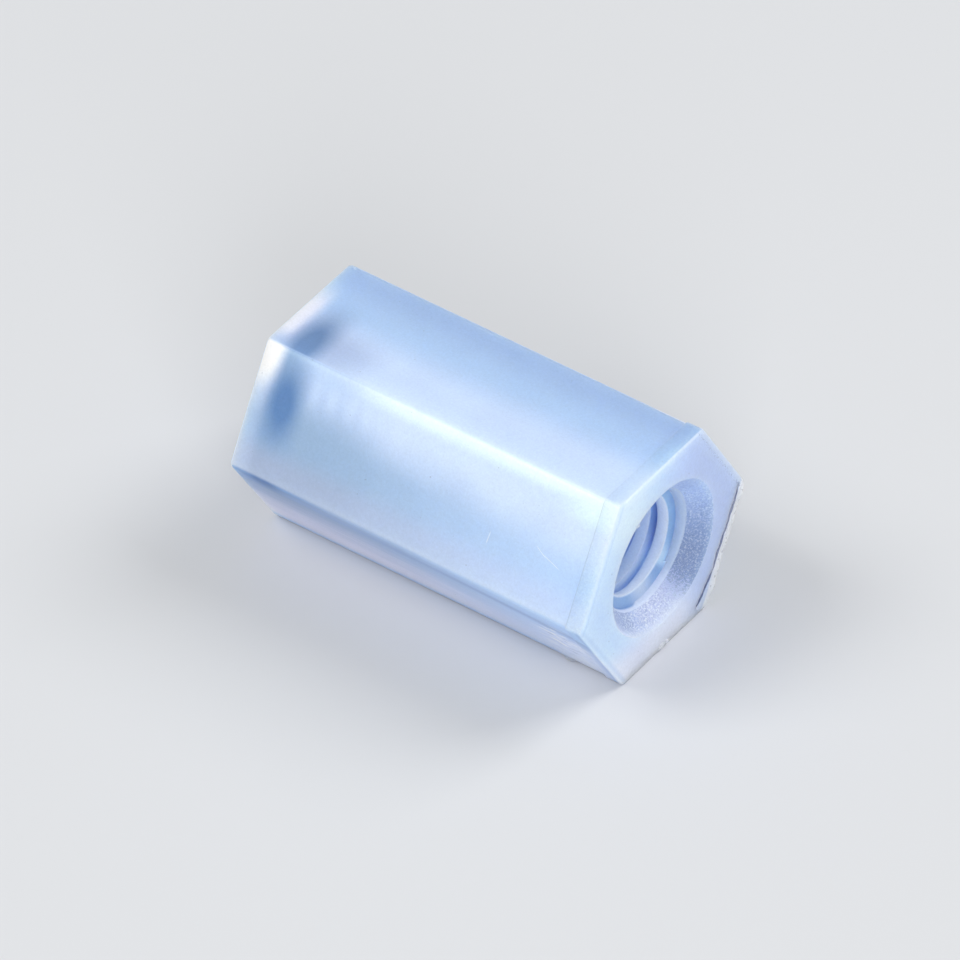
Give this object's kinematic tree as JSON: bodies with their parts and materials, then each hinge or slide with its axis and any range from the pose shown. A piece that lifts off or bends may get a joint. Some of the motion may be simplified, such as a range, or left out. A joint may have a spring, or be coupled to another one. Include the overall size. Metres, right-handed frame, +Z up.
{
  "type": "hex standoff",
  "caption": "Short hexagonal nylon spacer, threaded right through and countersunk at each end, lying on its side.",
  "frame": {"origin": "on the floor, under the middle of the standoff as it lies on one flat", "axes": "+X along the bore, towards the end with the mould line; +Z up, square to the flat it lies on"},
  "size_m": [0.01, 0.0064, 0.0055],
  "materials": {
    "nylon": "natural translucent nylon, satin as moulded"
  },
  "bodies": {
    "root": {"standoff_body": "nylon"}
  },
  "joints": []
}
